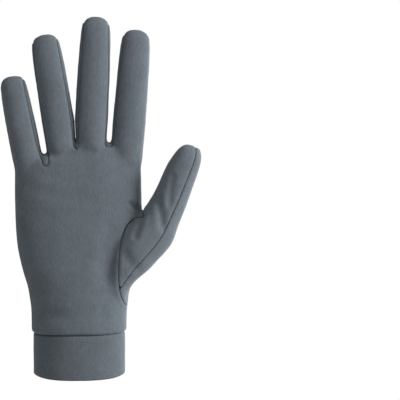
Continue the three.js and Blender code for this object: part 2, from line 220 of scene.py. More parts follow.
# piece: lower finger, upper finger, height of the fork as a share of the palm's length
FORKS = {
    "strip_ring_little": ("little", "ring", 0.925),
    "strip_middle_ring": ("ring", "middle", 1.018),
    "strip_index_middle": ("middle", "index", 1.025),
}
THUMB_FOOT = (0.22, 0.1, 0.163)  # across, forward and up, as shares of the palm's sizes
THUMB_POWER = 2.15
# up, across, forward, lean, wide, deep
THUMB_ROWS = [
    (0.0, 0.0, 0.0, 18, 0.8, 1.1),
    (0.155, 0.062, 0.016, 30, 1.0, 1.4),
    (0.288, 0.157, 0.03, 38, 1.32, 1.46),
    (0.39, 0.248, 0.038, 35, 1.34, 1.32),
    (0.486, 0.304, 0.05, 28, 1.13, 1.12),
    (0.611, 0.364, 0.066, 23, 1.0, 1.0),
    (0.725, 0.407, 0.08, 22, 0.95, 0.94),
    (0.805, 0.444, 0.089, 22, 0.85, 0.8),
    (0.857, 0.469, 0.093, 22, 0.67, 0.6),
    (0.882, 0.482, 0.095, 22, 0.42, 0.34),
]
print("hand", PALM_WIDTH, "mm wide,", round(CUFF_HEIGHT + PALM_LENGTH), "mm up to the forks")


# %% [markdown]
# A table becomes a form in two steps. First its rows are read more closely on smooth curves.
# Then each close row becomes a ring of points, set square to the way the hand, the finger or
# the thumb runs. A finger leans, so its rings lean with it.

# %% Smooth tables and rounded sections
ROW_STEPS = 60


def smooth_table(rows, steps):
    """Rows read at even steps and at their own places, on curves that never overshoot."""
    table = np.array(rows, float)
    t = table[:, 0]
    steepness = np.diff(table, axis=0) / np.diff(t)[:, None]
    slopes = np.zeros_like(table)
    before, after = steepness[:-1], steepness[1:]
    same = before * after > 0
    both = np.where(same, before + after, 1.0)
    slopes[1:-1] = np.where(same, 2 * before * after / both, 0.0)
    slopes[0], slopes[-1] = steepness[0], steepness[-1]
    places = np.unique(np.concatenate([np.linspace(t[0], t[-1], steps), t]))
    cell = np.clip(np.searchsorted(t, places, side="right") - 1, 0, len(t) - 2)
    span = (t[cell + 1] - t[cell])[:, None]
    s = ((places - t[cell])[:, None]) / span
    start, end = table[cell], table[cell + 1]
    return (
        start * (1 + 2 * s) * (1 - s) ** 2
        + end * s * s * (3 - 2 * s)
        + slopes[cell] * span * s * (1 - s) ** 2
        + slopes[cell + 1] * span * s * s * (s - 1)
    )


def oval(centre, lean, half, front, back, power, sides):
    """Ring of points on a squarish oval, leaning towards the thumb."""
    angle = np.arange(sides) * 2 * math.pi / sides
    cos, sin = np.cos(angle), np.sin(angle)
    u = half * np.sign(cos) * np.abs(cos) ** (2 / power)
    v = np.where(sin < 0, front, back) * np.sign(sin) * np.abs(sin) ** (2 / power)
    tilt = math.radians(lean)
    return np.stack(
        [centre[0] + u * math.cos(tilt), centre[1] + v, centre[2] - u * math.sin(tilt)], axis=1
    )


def hand_rings(sides):
    for up, palm, left, right, front, back, power in smooth_table(HAND_ROWS, ROW_STEPS):
        width = WRIST_WIDTH + palm * (PALM_WIDTH - WRIST_WIDTH)
        depth = WRIST_DEPTH + palm * (PALM_DEPTH - WRIST_DEPTH)
        centre = ((right - left) * width / 2, 0.0, CUFF_HEIGHT + up * PALM_LENGTH)
        yield oval(centre, 0, (left + right) * width / 2, front * depth, back * depth, power, sides)


def finger_line(name, z):
    """A finger's axis and half its width at a height, both measured level."""
    length, width, _, across, up, lean = FINGERS[name]
    tilt = math.radians(lean)
    rise = z - CUFF_HEIGHT - up * PALM_LENGTH
    wide = np.interp(rise / (length * math.cos(tilt)), *np.array(FINGER_ROWS)[:, :2].T)
    return across * PALM_WIDTH + rise * math.tan(tilt), wide * width / 2 / math.cos(tilt)


def gap_middle(lower, upper, z):
    (x_low, half_low), (x_up, half_up) = finger_line(lower, z), finger_line(upper, z)
    return (x_low + half_low + x_up - half_up) / 2


def reaches(name, wide, z):
    """Half widths to the little finger's side and to the thumb's, with room at the gaps."""
    names = list(FINGERS)
    i = names.index(name)
    axis, _ = finger_line(name, z)
    left = right = wide
    if i > 0:
        left = min(wide, axis - gap_middle(names[i - 1], name, z) - ROOM)
    if i < len(names) - 1:
        right = min(wide, gap_middle(name, names[i + 1], z) - axis - ROOM)
    return left, right


def finger_rings(name, sides):
    length, width, depth, across, up, lean = FINGERS[name]
    tilt = math.radians(lean)
    for along, wide, deep in smooth_table(FINGER_ROWS, ROW_STEPS):
        height = CUFF_HEIGHT + up * PALM_LENGTH + along * length * math.cos(tilt)
        left, right = reaches(name, wide * width / 2, height)
        u = (right - left) / 2
        centre = (
            across * PALM_WIDTH + along * length * math.sin(tilt) + u * math.cos(tilt),
            -FINGER_FORWARD * length * along**2,
            height - u * math.sin(tilt),
        )
        half_depth = deep * depth / 2
        yield oval(centre, lean, (left + right) / 2, half_depth, half_depth, FINGER_POWER, sides)


def thumb_row_place(up, across, forward):
    return np.array([
        THUMB_FOOT[0] * PALM_WIDTH + across * THUMB_LENGTH,
        -THUMB_FOOT[1] * PALM_DEPTH - forward * THUMB_LENGTH,
        CUFF_HEIGHT + THUMB_FOOT[2] * PALM_LENGTH + up * THUMB_LENGTH,
    ])


def thumb_rings(sides):
    for up, across, forward, lean, wide, deep in smooth_table(THUMB_ROWS, ROW_STEPS):
        half_depth = deep * THUMB_DEPTH / 2
        centre = thumb_row_place(up, across, forward)
        yield oval(centre, lean, wide * THUMB_WIDTH / 2, half_depth, half_depth, THUMB_POWER, sides)


print("finger rows after smoothing:", len(smooth_table(FINGER_ROWS, ROW_STEPS)))

# %% [markdown]
# The closed forms overlap where they grow out of each other, so they have to become one skin.
# A boolean union would leave sharp creases and long thin triangles. A voxel remesh melts them
# into an even net instead, and a few rounds of relaxing blend the creases at the forks and at
# the crotch of the thumb the way stretched cloth does. The net would also bridge the narrow
# gaps between the fingers. So the fingers are made a little slimmer towards their neighbours,
# and after the melting their walls are drawn back together until they nearly touch.

# %% One skin from all forms
HAND_SIDES, LIMB_SIDES = 120, 64
VOXEL = 1.08 * MM
RELAX_ROUNDS = 10
DRAWN_FROM, DRAWN_OVER = 5, 4  # it starts so many mm below a fork and grows over so many


def loft(rings):
    rings = list(rings)
    sides = len(rings[0])
    points = np.concatenate(rings)
    faces = []
    for i in range(len(rings) - 1):
        for k in range(sides):
            n = (k + 1) % sides
            faces.append((i * sides + k, i * sides + n, (i + 1) * sides + n, (i + 1) * sides + k))
    faces.append(tuple(reversed(range(sides))))
    top = (len(rings) - 1) * sides
    faces.append(tuple(range(top, top + sides)))
    return points, faces


def melted_forms():
    points, faces, shift = [], [], 0
    forms = [hand_rings(HAND_SIDES), thumb_rings(LIMB_SIDES)]
    forms += [finger_rings(name, LIMB_SIDES) for name in FINGERS]
    for rings in forms:
        p, f = loft(rings)
        points.append(p)
        faces += [tuple(i + shift for i in face) for face in f]
        shift += len(p)
    mesh = bpy.data.meshes.new("forms")
    mesh.from_pydata((np.concatenate(points) * MM).tolist(), [], faces)
    rough = bpy.data.objects.new("forms", mesh)
    scene.collection.objects.link(rough)
    remesh = rough.modifiers.new("melt", "REMESH")
    remesh.mode = "VOXEL"
    remesh.voxel_size = VOXEL
    depsgraph = bpy.context.evaluated_depsgraph_get()
    melted = bpy.data.meshes.new_from_object(rough.evaluated_get(depsgraph))
    melted.calc_loop_triangles()
    skin_points = np.empty(len(melted.vertices) * 3)
    melted.vertices.foreach_get("co", skin_points)
    triangles = np.empty(len(melted.loop_triangles) * 3, int)
    melted.loop_triangles.foreach_get("vertices", triangles)
    bpy.data.objects.remove(rough)
    bpy.data.meshes.remove(melted)
    return skin_points.reshape(-1, 3) / MM, triangles.reshape(-1, 3)


def edges_of(triangles):
    pairs = np.concatenate([triangles[:, [0, 1]], triangles[:, [1, 2]], triangles[:, [2, 0]]])
    return np.unique(np.sort(pairs, axis=1), axis=0)


def neighbour_mean(values, edges):
    total = np.zeros_like(values)
    count = np.zeros(len(values))
    for a, b in ((0, 1), (1, 0)):
        np.add.at(total, edges[:, a], values[edges[:, b]])
        np.add.at(count, edges[:, a], 1)
    return total / count[:, None]


def relax(values, edges, rounds, weight=0.5):
    for _ in range(rounds):
        values = values + weight * (neighbour_mean(values, edges) - values)
    return values


def normals_of(points, triangles):
    a, b, c = (points[triangles[:, k]] for k in range(3))
    cross = np.cross(b - a, c - a)
    normals = np.zeros_like(points)
    for k in range(3):
        np.add.at(normals, triangles[:, k], cross)
    return normals / np.maximum(np.linalg.norm(normals, axis=1), 1e-12)[:, None]


def drawn_together(points):
    """Fingers' walls back at their true places, where neighbours nearly touch."""
    moved = points.copy()
    x, z = points[:, 0], points[:, 2]
    for lower, upper, up in FORKS.values():
        middle = gap_middle(lower, upper, z)
        full = np.clip((z - CUFF_HEIGHT - up * PALM_LENGTH + DRAWN_FROM) / DRAWN_OVER, 0, 1)
        for name, side in ((lower, -1), (upper, 1)):
            axis, half = finger_line(name, z)
            to_axis, to_point = side * (axis - middle), side * (x - middle)
            wall, goal = (np.maximum(to_axis - half, room) for room in (ROOM, SLIT))
            in_gap = to_point * np.maximum(goal, 0) / wall
            in_finger = to_axis - (to_axis - to_point) * (to_axis - goal) / (to_axis - wall)
            new = np.where(to_point < wall, in_gap, in_finger)
            own = (to_point > 0) & (to_point < to_axis)
            moved[:, 0] += np.where(own, side * full * (new - to_point), 0)
    return moved


skin, skin_triangles = melted_forms()
skin_edges = edges_of(skin_triangles)
skin = drawn_together(relax(skin, skin_edges, RELAX_ROUNDS))
print("skin:", len(skin), "points,", len(skin_triangles), "triangles")

# %% [markdown]
# A seam is a line on the flat pattern, but on the worn glove it runs over palm and back. Seen
# from the front, each pair of lines is a flat outline: one for the palm side and one for the
# back. Between them the outline is blended through the depth of the hand. So each seam becomes
# a number at every point of the skin: its distance inside the outline. Zero is the seam.

# %% Outlines of the strips between the fingers
# share of half the finger's width: towards the little finger, towards the thumb
STRIP_SEAMS = {
    "palm": {"little": (0.9, 0.76), "ring": (0.93, 0.8), "middle": (0.77, 0.92), "index": (0.84, 0.9)},
    "back": {"little": (0.92, 0.7), "ring": (0.9, 0.7), "middle": (0.9, 0.66), "index": (0.9, 0.7)},
}
TIP_SHARE = 0.72
STRIP_BELOW_FORK = 2.4
FORK_SHARES = {"little": 0.95, "ring": 0.72, "middle": 0.9}  # where the seams run at a fork
FORK_REACH = 14  # mm above the fork where they run at their own shares
STRIP_BLEND = (-1.5, 7.0)  # middle and width of the blend from palm side to back


def rounded(line, rounds=3):
    """Corners of an open line cut again and again, which rounds them."""
    line = np.array(line, float)
    for _ in range(rounds):
        cut = np.empty((2 * len(line), 2))
        cut[0], cut[-1] = line[0], line[-1]
        cut[1:-1:2] = 0.75 * line[:-1] + 0.25 * line[1:]
        cut[2:-1:2] = 0.25 * line[:-1] + 0.75 * line[1:]
        line = cut
    return line


def finger_side(name, share, side, fork_height, fork_share):
    """A finger's seam from the fork up past the tip. side is 1 towards the thumb."""
    length, width, _, across, up, lean = FINGERS[name]
    tilt = math.radians(lean)
    root = CUFF_HEIGHT + up * PALM_LENGTH
    start = (fork_height - root + side * share * width / 2 * math.sin(tilt)) / math.cos(tilt)
    stops = [
        (start, fork_share),
        (start + FORK_REACH, share),
        (0.6 * length, share),
        (0.93 * length, TIP_SHARE),
        (1.15 * length, TIP_SHARE),
    ]
    line = []
    for along, held in stops:
        u = side * held * width / 2
        x = across * PALM_WIDTH + along * math.sin(tilt) + u * math.cos(tilt)
        line.append((x, root + along * math.cos(tilt) - u * math.sin(tilt)))
    return line


def strip_outline(face, lower, upper, up):
    height = CUFF_HEIGHT + up * PALM_LENGTH
    at_fork = FORK_SHARES[lower]
    down = finger_side(lower, STRIP_SEAMS[face][lower][1], 1, height, at_fork)[::-1]
    rise = finger_side(upper, STRIP_SEAMS[face][upper][0], -1, height, at_fork)
    left, right = down[-1][0], rise[0][0]
    centre, half = (left + right) / 2, (right - left) / 2
    turns = [math.pi * (1 + i / 8) for i in range(1, 8)]
    loop = [(centre + half * math.cos(a), height + STRIP_BELOW_FORK * math.sin(a)) for a in turns]
    return rounded(down + loop + rise)


print("strip outline:", len(strip_outline("palm", *FORKS["strip_middle_ring"])), "points")

# %% [markdown]
# The thumb is set into an oval hole beside the palm. Its cloth is two panels: an inner one that
# faces the palm and an outer one that wraps the far side and ends at the tip. Their seams are
# given on the thumb's own rows, as shares of half its width.

# %% Outlines of the thumb hole and the thumb's panels
# across, up: shares of the palm's width and length
HOLE_PALM = [
    (0.405, 0.085), (0.378, 0.117), (0.357, 0.158), (0.33, 0.204), (0.312, 0.255), (0.306, 0.327),
    (0.309, 0.398), (0.318, 0.464), (0.34, 0.536), (0.375, 0.59), (0.44, 0.627), (0.494, 0.638),
]
HOLE_BACK = [
    (0.405, 0.085), (0.385, 0.117), (0.398, 0.184), (0.414, 0.286), (0.43, 0.388), (0.45, 0.49),
    (0.474, 0.571), (0.494, 0.638),
]
HOLE_BLEND = (-3.9, 12.0)  # as for the strips
# row of the thumb, side: positive away from the palm
THUMB_PALM = [
    (0, 0.3), (1, 0.42), (2, 0.42), (3, 0.42), (4, 0.42), (5, 0.42), (6, 0.46), (7, 0.48),
    (8, 0.42), (9, 0.3),
]
THUMB_BACK = [(2, -0.5), (3, -0.25), (4, -0.5), (5, -0.42), (6, -0.3), (7, -0.2), (8, 0.0), (9, 0.3)]
THUMB_BLEND = (thumb_row_place(*THUMB_ROWS[5][:3])[1], 8.0)
FAR = 300.0


def hole_outline(rows):
    """The hole's seam, closed round the whole thumb."""
    seam = rounded([(x * PALM_WIDTH, CUFF_HEIGHT + z * PALM_LENGTH) for x, z in rows], 2)
    thumb_top = thumb_row_place(*THUMB_ROWS[-1][:3])[2]
    beyond = [
        (seam[-1][0] + 0.1 * PALM_WIDTH, thumb_top + 3),
        (FAR, thumb_top + 60),
        (FAR, seam[0][1]),
    ]
    return np.concatenate([seam, beyond])


def thumb_outline(rows):
    """The thumb's seam, closed round its outer panel and all that lies below the seam."""
    seam = []
    for row, side in rows:
        up, across, forward, lean, wide, _ = THUMB_ROWS[row]
        x, _, z = thumb_row_place(up, across, forward)
        u, tilt = side * wide * THUMB_WIDTH / 2, math.radians(lean)
        seam.append((x + u * math.cos(tilt), z - u * math.sin(tilt)))
    (x0, z0), (x1, z1) = seam[-2:]
    seam.append((x1 + 8 * (x1 - x0), z1 + 8 * (z1 - z0)))
    seam = rounded(seam, 2)
    top, low = seam[-1][1], seam[0][1]
    return np.concatenate([seam, [(FAR, top), (FAR, low - 60), (-FAR, low - 60), (-FAR, low)]])


def inside_by(points, outline):
    """Distance from each point seen from the front to the outline, positive inside it."""
    best = np.full(len(points), np.inf)
    inside = np.zeros(len(points), bool)
    for a, b in zip(outline, np.roll(outline, -1, axis=0)):
        way = b - a
        t = np.clip((points - a) @ way / max(way @ way, 1e-12), 0, 1)
        best = np.minimum(best, np.linalg.norm(points - a - t[:, None] * way, axis=1))
        above = (a[1] > points[:, 1]) != (b[1] > points[:, 1])
        rise = way[1] if abs(way[1]) > 1e-12 else 1e-12
        inside ^= above & (points[:, 0] < a[0] + (points[:, 1] - a[1]) * way[0] / rise)
    return np.where(inside, best, -best)


def blended(points, palm, back, blend):
    """Distance inside the palm's outline, turning into that of the back's through the depth."""
    front = points[:, [0, 2]]
    s = np.clip((points[:, 1] - blend[0]) / blend[1] + 0.5, 0, 1)
    s = s * s * (3 - 2 * s)
    return (1 - s) * inside_by(front, palm) + s * inside_by(front, back)


def seam_fields(points):
    fields = {}
    for piece, (lower, upper, up) in FORKS.items():
        outlines = [strip_outline(face, lower, upper, up) for face in ("palm", "back")]
        fields[piece] = blended(points, *outlines, STRIP_BLEND)
    fields["hole"] = blended(points, hole_outline(HOLE_PALM), hole_outline(HOLE_BACK), HOLE_BLEND)
    fields["thumb"] = blended(points, thumb_outline(THUMB_PALM), thumb_outline(THUMB_BACK), THUMB_BLEND)
    return fields


fields = seam_fields(skin)
print({name: int((field > 0).sum()) for name, field in fields.items()})

# %% [markdown]
# The main cloth closes on itself too: its palm and back meet in a seam down the little finger's
# side and over every fingertip. That seam is where the depth equals the middle of the finger.
# The index finger's outer side is a fold and has no seam.

# %% Side seam and fingertip seams
# up, forward: shares of the palm's length and depth
SIDE_SEAM = np.array([(-0.12, 0.17), (0.367, 0.17), (0.653, 0.0), (1.0, 0.0)])
FOLD_FROM = 0.35  # share of the index finger's width past its axis where the tip seam ends


def column_of(points):
    """For each point the finger whose axis is nearest, its share along it and offset from it."""
    nearest = np.full(len(points), np.inf)
    column = np.zeros(len(points), int)
    along, offset = np.zeros(len(points)), np.zeros(len(points))
    for i, (length, width, _, across, up, lean) in enumerate(FINGERS.values()):
        tilt = math.radians(lean)
        dx = points[:, 0] - across * PALM_WIDTH
        dz = points[:, 2] - CUFF_HEIGHT - up * PALM_LENGTH
        side = dx * math.cos(tilt) - dz * math.sin(tilt)
        closer = np.abs(side) < nearest
        nearest[closer] = np.abs(side)[closer]
        column[closer] = i
        along[closer] = ((dx * math.sin(tilt) + dz * math.cos(tilt)) / length)[closer]
        offset[closer] = (side / width)[closer]
    return column, along, offset


def middle_field(points):
    """How far behind the middle between palm and back each point lies."""
    column, along, _ = column_of(points)
    lengths = np.array([row[0] for row in FINGERS.values()])[column]
    axis = -FINGER_FORWARD * lengths * np.clip(along, 0, 2) ** 2
    up = (points[:, 2] - CUFF_HEIGHT) / PALM_LENGTH
    return points[:, 1] - axis + PALM_DEPTH * np.interp(up, SIDE_SEAM[:, 0], SIDE_SEAM[:, 1])


def is_side_seam(points):
    column, along, offset = column_of(points)
    outer = (column == 0) & (offset < 0)
    tip = (along > 0.9) & ((column < 3) | (offset < FOLD_FROM))
    return outer | tip


fields["middle"] = middle_field(skin)
CUFF_SEAM_HEIGHT = CUFF_HEIGHT + 0.5  # the band's round top lies just below
fields["cuff"] = skin[:, 2] - CUFF_SEAM_HEIGHT


def label_of(values):
    """Panel that each point lies in, from its seam fields."""
    label = np.full(len(values["hole"]), "main_cloth", dtype=object)
    for piece in FORKS:
        label[values[piece] > 0] = piece
    thumb = values["hole"] > 0
    label[thumb & (values["thumb"] > 0)] = "thumb_outer_panel"
    label[thumb & (values["thumb"] <= 0)] = "thumb_inner_panel"
    return label


labels = label_of(fields)
print({name: int((labels == name).sum()) for name in sorted(set(labels))})


# %% [markdown]
# A needle follows a line, and so do the puckers and the rolled edges that come later. So each
# seam is also traced as a row of close points: wherever a triangle has corners on both sides
# of a seam, the seam crosses it. Only true seams are kept, such as the thumb's own seam inside
# the hole. Where that one runs into the hole's seam, its cut gets narrower until it closes.

# %% Seam lines traced on the skin
SEAM_HALF = 0.85  # mm from the seam's line to where the cloth starts to turn in
TAPER = 1.2  # the thumb's seam closes up over this length where it runs into the hole's seam


def zero_line(points, triangles, field):
    """Short pieces of the line where a field is zero: their two ends, one row per triangle."""
    sign = field[triangles] > 0
    count = sign.sum(axis=1)
    mixed = (count == 1) | (count == 2)
    triangles, sign = triangles[mixed], sign[mixed]
    lone = np.argmax(sign == (count[mixed] == 1)[:, None], axis=1)
    rows = np.arange(len(triangles))
    a, b, c = (triangles[rows, (lone + k) % 3] for k in range(3))
    ends = []
    for other in (b, c):
        t = (field[a] / (field[a] - field[other]))[:, None]
        ends.append(points[a] + t * (points[other] - points[a]))
    return np.stack(ends, axis=1)


def lookup(places, values):
    """Values at places near the skin, each from the nearest point of the skin."""
    tree = tree_of(skin)
    nearest = np.array([tree.find(place)[1] for place in places])
    return values[nearest]


def tree_of(points):
    tree = kdtree.KDTree(len(points))
    for i, point in enumerate(points):
        tree.insert(point, i)
    tree.balance()
    return tree


def seam_points(points):
    """Closely set points on all the seams, and how wide the cut is there on each side."""
    lines, cuts = [], []
    for name, field in fields.items():
        ends = zero_line(points, skin_triangles, field)
        middle = ends.mean(axis=1)
        thumb = lookup(middle, fields["hole"]) > 0
        if name in FORKS:
            ends = ends[~thumb]
        elif name == "thumb":
            ends = ends[thumb]
        elif name == "middle":
            main = lookup(middle, labels) == "main_cloth"
            ends = ends[main & is_side_seam(middle)]
        steps = np.linspace(0, 1, 5)[None, :, None]
        line = (ends[:, None, 0] * (1 - steps) + ends[:, None, 1] * steps).reshape(-1, 3)
        cut = np.full(len(line), SEAM_HALF)
        if name == "thumb":
            cut *= np.clip((lookup(line, fields["hole"]) - SEAM_HALF) / TAPER, 0, 1)
        lines.append(line)
        cuts.append(cut)
    lines, cuts = np.concatenate(lines), np.concatenate(cuts)
    above = lines[:, 2] > CUFF_SEAM_HEIGHT - 0.01
    return lines[above], cuts[above]


seams, seam_cuts = seam_points(skin)
print("points on the seams:", len(seams))

# %% [markdown]
# Worn knit isn't a smooth shell. It draws in along a seam, where the needle gathers it into
# tiny puckers, and it makes soft creases where the thumb leaves the palm and under the fingers.
# The creases are few and each has its place in the photograph, so they are a list. The puckers
# come from noise that is read at the nearest point of the seam, so they run across it.

# %% Creases and puckers
# side: -1 palm, 1 back. Points are across and up in mm.
CREASES = {
    "under the ring finger": (-1, [(-16.0, 147.6), (-5.0, 147.4), (8.9, 150.0)], 2.4, 0.75),
    "under the index finger": (-1, [(15.0, 146.5), (24.0, 145.0), (36.0, 146.0)], 3.0, 0.35),
    "crotch of the thumb": (-1, [(34.0, 115.5), (38.0, 112.8), (42.0, 109.0)], 1.5, 1.2),
    "inner panel, palm end": (-1, [(40.5, 107.0), (39.0, 101.0), (37.0, 95.0)], 2.0, 0.8),
    "inner panel, middle": (-1, [(51.0, 120.0), (53.4, 111.0), (54.8, 101.0)], 2.4, 1.0),
    "inner panel, upper": (-1, [(61.5, 134.0), (60.0, 126.0), (59.0, 116.0)], 2.0, 0.6),
    "ball of the thumb": (-1, [(30.0, 84.0), (33.0, 78.0), (38.0, 73.0)], 3.0, 0.6),
    "beside the ball": (-1, [(20.0, 98.0), (17.0, 84.0), (16.0, 68.0)], 4.5, 0.6),
    "across the palm": (-1, [(-32.0, 126.0), (-12.0, 121.0), (8.0, 118.0)], 4.0, 0.4),
    "web on the back": (1, [(36.0, 105.0), (41.0, 109.5), (44.0, 114.0)], 1.8, 1.1),
    "back of the thumb's root": (1, [(42.1, 86.5), (41.9, 80.0), (41.8, 73.0)], 1.6, 0.7),
    "wrist, palm side": (-1, [(-26.0, 45.0), (-8.0, 41.0), (14.0, 44.0)], 4.5, 0.9),
    "wrist, back": (1, [(-24.0, 50.0), (-4.0, 46.0), (20.0, 52.0)], 4.5, 0.8),
}
PUCKER_DEPTH = 0.14
PUCKER_WIDTH = 3.2  # mm from one pucker to the next
PUCKER_REACH = 2.4
RIDGE_HEIGHT, RIDGE_PLACE, RIDGE_WIDTH = 0.14, 2.1, 1.1  # the soft swelling beside a seam
GROOVE_DEPTH, GROOVE_WIDTH = 0.12, 1.0
WAVES = ((22.0, 0.3), (8.0, 0.09))  # mm across and mm deep
WAVE_SHIFT, PUCKER_SHIFT = 3.7, 11.0  # where in the noise each is read


def line_distance(front, line):
    best = np.full(len(front), np.inf)
    for a, b in zip(line[:-1], line[1:]):
        way = b - a
        t = np.clip((front - a) @ way / (way @ way), 0, 1)
        best = np.minimum(best, np.linalg.norm(front - a - t[:, None] * way, axis=1))
    return best


def noise_at(places, size, shift):
    places = places / size + shift
    return np.array([noise.noise(Vector(place)) for place in places])


def nearest_seam(points, seams):
    """The nearest seam point of each point, its number and how far it is."""
    tree = tree_of(seams)
    places, numbers, distances = zip(*(tree.find(point) for point in points))
    return np.array(places), np.array(numbers), np.array(distances)


def lived_in(points, normals, seams):
    """The skin pushed in and out along its normals by creases, waves, puckers and seams."""
    push = np.zeros(len(points))
    for side, line, width, depth in CREASES.values():
        d = line_distance(points[:, [0, 2]], rounded(line, 2)) / width
        facing = np.clip(side * normals[:, 1] * 1.5, 0, 1)
        push -= facing * depth * (1 - 0.45 * d * d) * np.exp(-d * d / 2)
    for size, depth in WAVES:
        push += depth * noise_at(points, size, WAVE_SHIFT)
    seam, _, distance = nearest_seam(points, seams)
    fade = np.exp(-((distance / PUCKER_REACH) ** 2))
    push += PUCKER_DEPTH * fade * noise_at(seam, PUCKER_WIDTH / 2, PUCKER_SHIFT)
    push += RIDGE_HEIGHT * np.exp(-(((distance - RIDGE_PLACE) / RIDGE_WIDTH) ** 2))
    push -= GROOVE_DEPTH * np.exp(-((distance / GROOVE_WIDTH) ** 2))
    return points + push[:, None] * normals


skin = lived_in(skin, normals_of(skin, skin_triangles), seams)
skin_normals = relax(normals_of(skin, skin_triangles), skin_edges, 1)
seams, seam_cuts = seam_points(skin)
print("creases:", len(CREASES), "seam points:", len(seams))

# %% [markdown]
# Now the skin is parted. A narrow band along every seam is cut out, which leaves one open sheet
# for each panel. The cut runs through the triangles, so the new edges are smooth. The glove
# also ends here at its lower edge, where the band follows.

# %% Part the skin along the seams
def parted(points, triangles, values, keep):
    """Triangles where keep is positive, cut along its zero line, with values carried over."""
    inside = keep > 0
    count = inside[triangles].sum(axis=1)
    whole = triangles[count == 3]
    mixed = triangles[(count == 1) | (count == 2)]
    one = inside[mixed].sum(axis=1) == 1
    lone = np.argmax(inside[mixed] == one[:, None], axis=1)
    rows = np.arange(len(mixed))
    a, b, c = (mixed[rows, (lone + k) % 3] for k in range(3))
    pairs = np.concatenate([np.stack([a, b], 1), np.stack([a, c], 1)])
    pairs, where = np.unique(np.sort(pairs, axis=1), axis=0, return_inverse=True)
    where = where.reshape(-1) + len(points)
    ab, ac = where[: len(mixed)], where[len(mixed) :]
    t = np.clip(keep[pairs[:, 0]] / (keep[pairs[:, 0]] - keep[pairs[:, 1]]), 0.05, 0.95)
    carried = {
        name: np.concatenate([v, v[pairs[:, 0]] + (v[pairs[:, 1]] - v[pairs[:, 0]]) * (
            t[:, None] if v.ndim == 2 else t)])
        for name, v in values.items()
    }
    corner = np.stack([a, ab, ac], 1)[one]
    two = ~one
    rest = np.concatenate([np.stack([b, c, ac], 1)[two], np.stack([b, ac, ab], 1)[two]])
    return carried, np.concatenate([whole, corner, rest])


def part_skin():
    """One sheet for each panel: its points, their normals and its triangles."""
    _, number, distance = nearest_seam(skin, seams)
    keep = np.minimum(distance - seam_cuts[number], fields["cuff"])
    values = {"point": skin, "normal": skin_normals, **fields}
    values, triangles = parted(skin, skin_triangles, values, keep)
    middle = {name: values[name][triangles].mean(axis=1) for name in fields}
    panel = label_of(middle)
    sheets = {}
    for name in sorted(set(panel)):
        used, own = np.unique(triangles[panel == name], return_inverse=True)
        sheets[name] = (values["point"][used], values["normal"][used], own.reshape(-1, 3))
    return sheets


sheets = part_skin()
print({name: len(sheet[2]) for name, sheet in sheets.items()})

# %% [markdown]
# A cut edge would look like sheet metal. In a turned seam both edges roll inwards and touch, so
# each edge gets a quarter-round rim: four rows that lean towards the seam and sink. An inner
# wall, a cloth's thickness further in, closes the panel, because one can look into the cuff.

# %% Rolled rims and inner walls
CLOTH = 1.25
RIM_DEPTH = 0.7
RIM_TURNS = (22.5, 45.0, 67.5, 90.0)
RIM_REACH = 0.98  # share of the way to the seam's line, so that neighbours don't cross


def open_edges(triangles):
    """Directed edges that only one triangle has."""
    edges = np.concatenate([triangles[:, [0, 1]], triangles[:, [1, 2]], triangles[:, [2, 0]]])
    key = edges[:, 0] * (triangles.max() + 1) + edges[:, 1]
    back = edges[:, 1] * (triangles.max() + 1) + edges[:, 0]
    return edges[~np.isin(key, back)]


def closed_panel(points, normals, triangles):
    """Points and faces of a sheet closed by its rims and an inner wall."""
    normals = normals / np.linalg.norm(normals, axis=1)[:, None]
    edges = open_edges(triangles)
    rim = np.unique(edges)
    place = {vertex: i for i, vertex in enumerate(rim)}
    edges = np.array([(place[a], place[b]) for a, b in edges])
    seam, _, distance = nearest_seam(points[rim], seams)
    reach = RIM_REACH * np.minimum(distance, 1.5 * SEAM_HALF)[:, None]
    way = seam - points[rim]
    way -= (way * normals[rim]).sum(axis=1)[:, None] * normals[rim]
    way /= np.maximum(np.linalg.norm(way, axis=1), 1e-6)[:, None]
    rows = [rim]
    all_points = [points]
    total = len(points)
    for turn in np.radians(RIM_TURNS):
        sink = RIM_DEPTH * (1 - math.cos(turn))
        all_points.append(points[rim] + reach * math.sin(turn) * way - sink * normals[rim])
        rows.append(np.arange(total, total + len(rim)))
        total += len(rim)
    all_points.append(points - CLOTH * normals)
    rows.append(rim + total)
    a, b = edges[:, 0], edges[:, 1]
    faces = [triangles, triangles[:, ::-1] + total]
    for outer, inner in zip(rows[:-1], rows[1:]):
        faces.append(np.stack([outer[b], outer[a], inner[a]], 1))
        faces.append(np.stack([outer[b], inner[a], inner[b]], 1))
    return np.concatenate(all_points), np.concatenate(faces)


def add_piece(name, points, faces):
    mesh = bpy.data.meshes.new(name)
    mesh.from_pydata((points * MM).tolist(), [], faces.tolist())
    mesh.validate()
    mesh.shade_smooth()
    piece = bpy.data.objects.new(name, mesh)
    scene.collection.objects.link(piece)
    return piece


pieces = {}
for name, sheet in sheets.items():
    pieces[name] = add_piece(name, *closed_panel(*sheet))
    places = np.array([v.co for v in pieces[name].data.vertices]) / MM
    _, _, far = nearest_seam(places, seams)
    # each point's distance to the nearest seam, which the materials read to paint shade down in the
    # seams
    attribute = pieces[name].data.attributes.new("from_seam", "FLOAT", "POINT")
    attribute.data.foreach_set("value", far.astype(np.float32))
print({name: len(piece.data.polygons) for name, piece in pieces.items()})

# %% [markdown]
# The wrist band is one strip of cloth folded double along its hem. Its section is a flat loop
# with a round fold at each end, and the band is that section carried round the oval of the
# wrist. Carrying a section along a path is a rule, so a node group does it: the path, the
# height, the thickness and the softness go in, and a closed band comes out. On the real glove
# the band's raw edges are sewn in behind the glove's edge. Here the inner side of the band is
# drawn up there as a short tongue, so that no light comes through the seam.

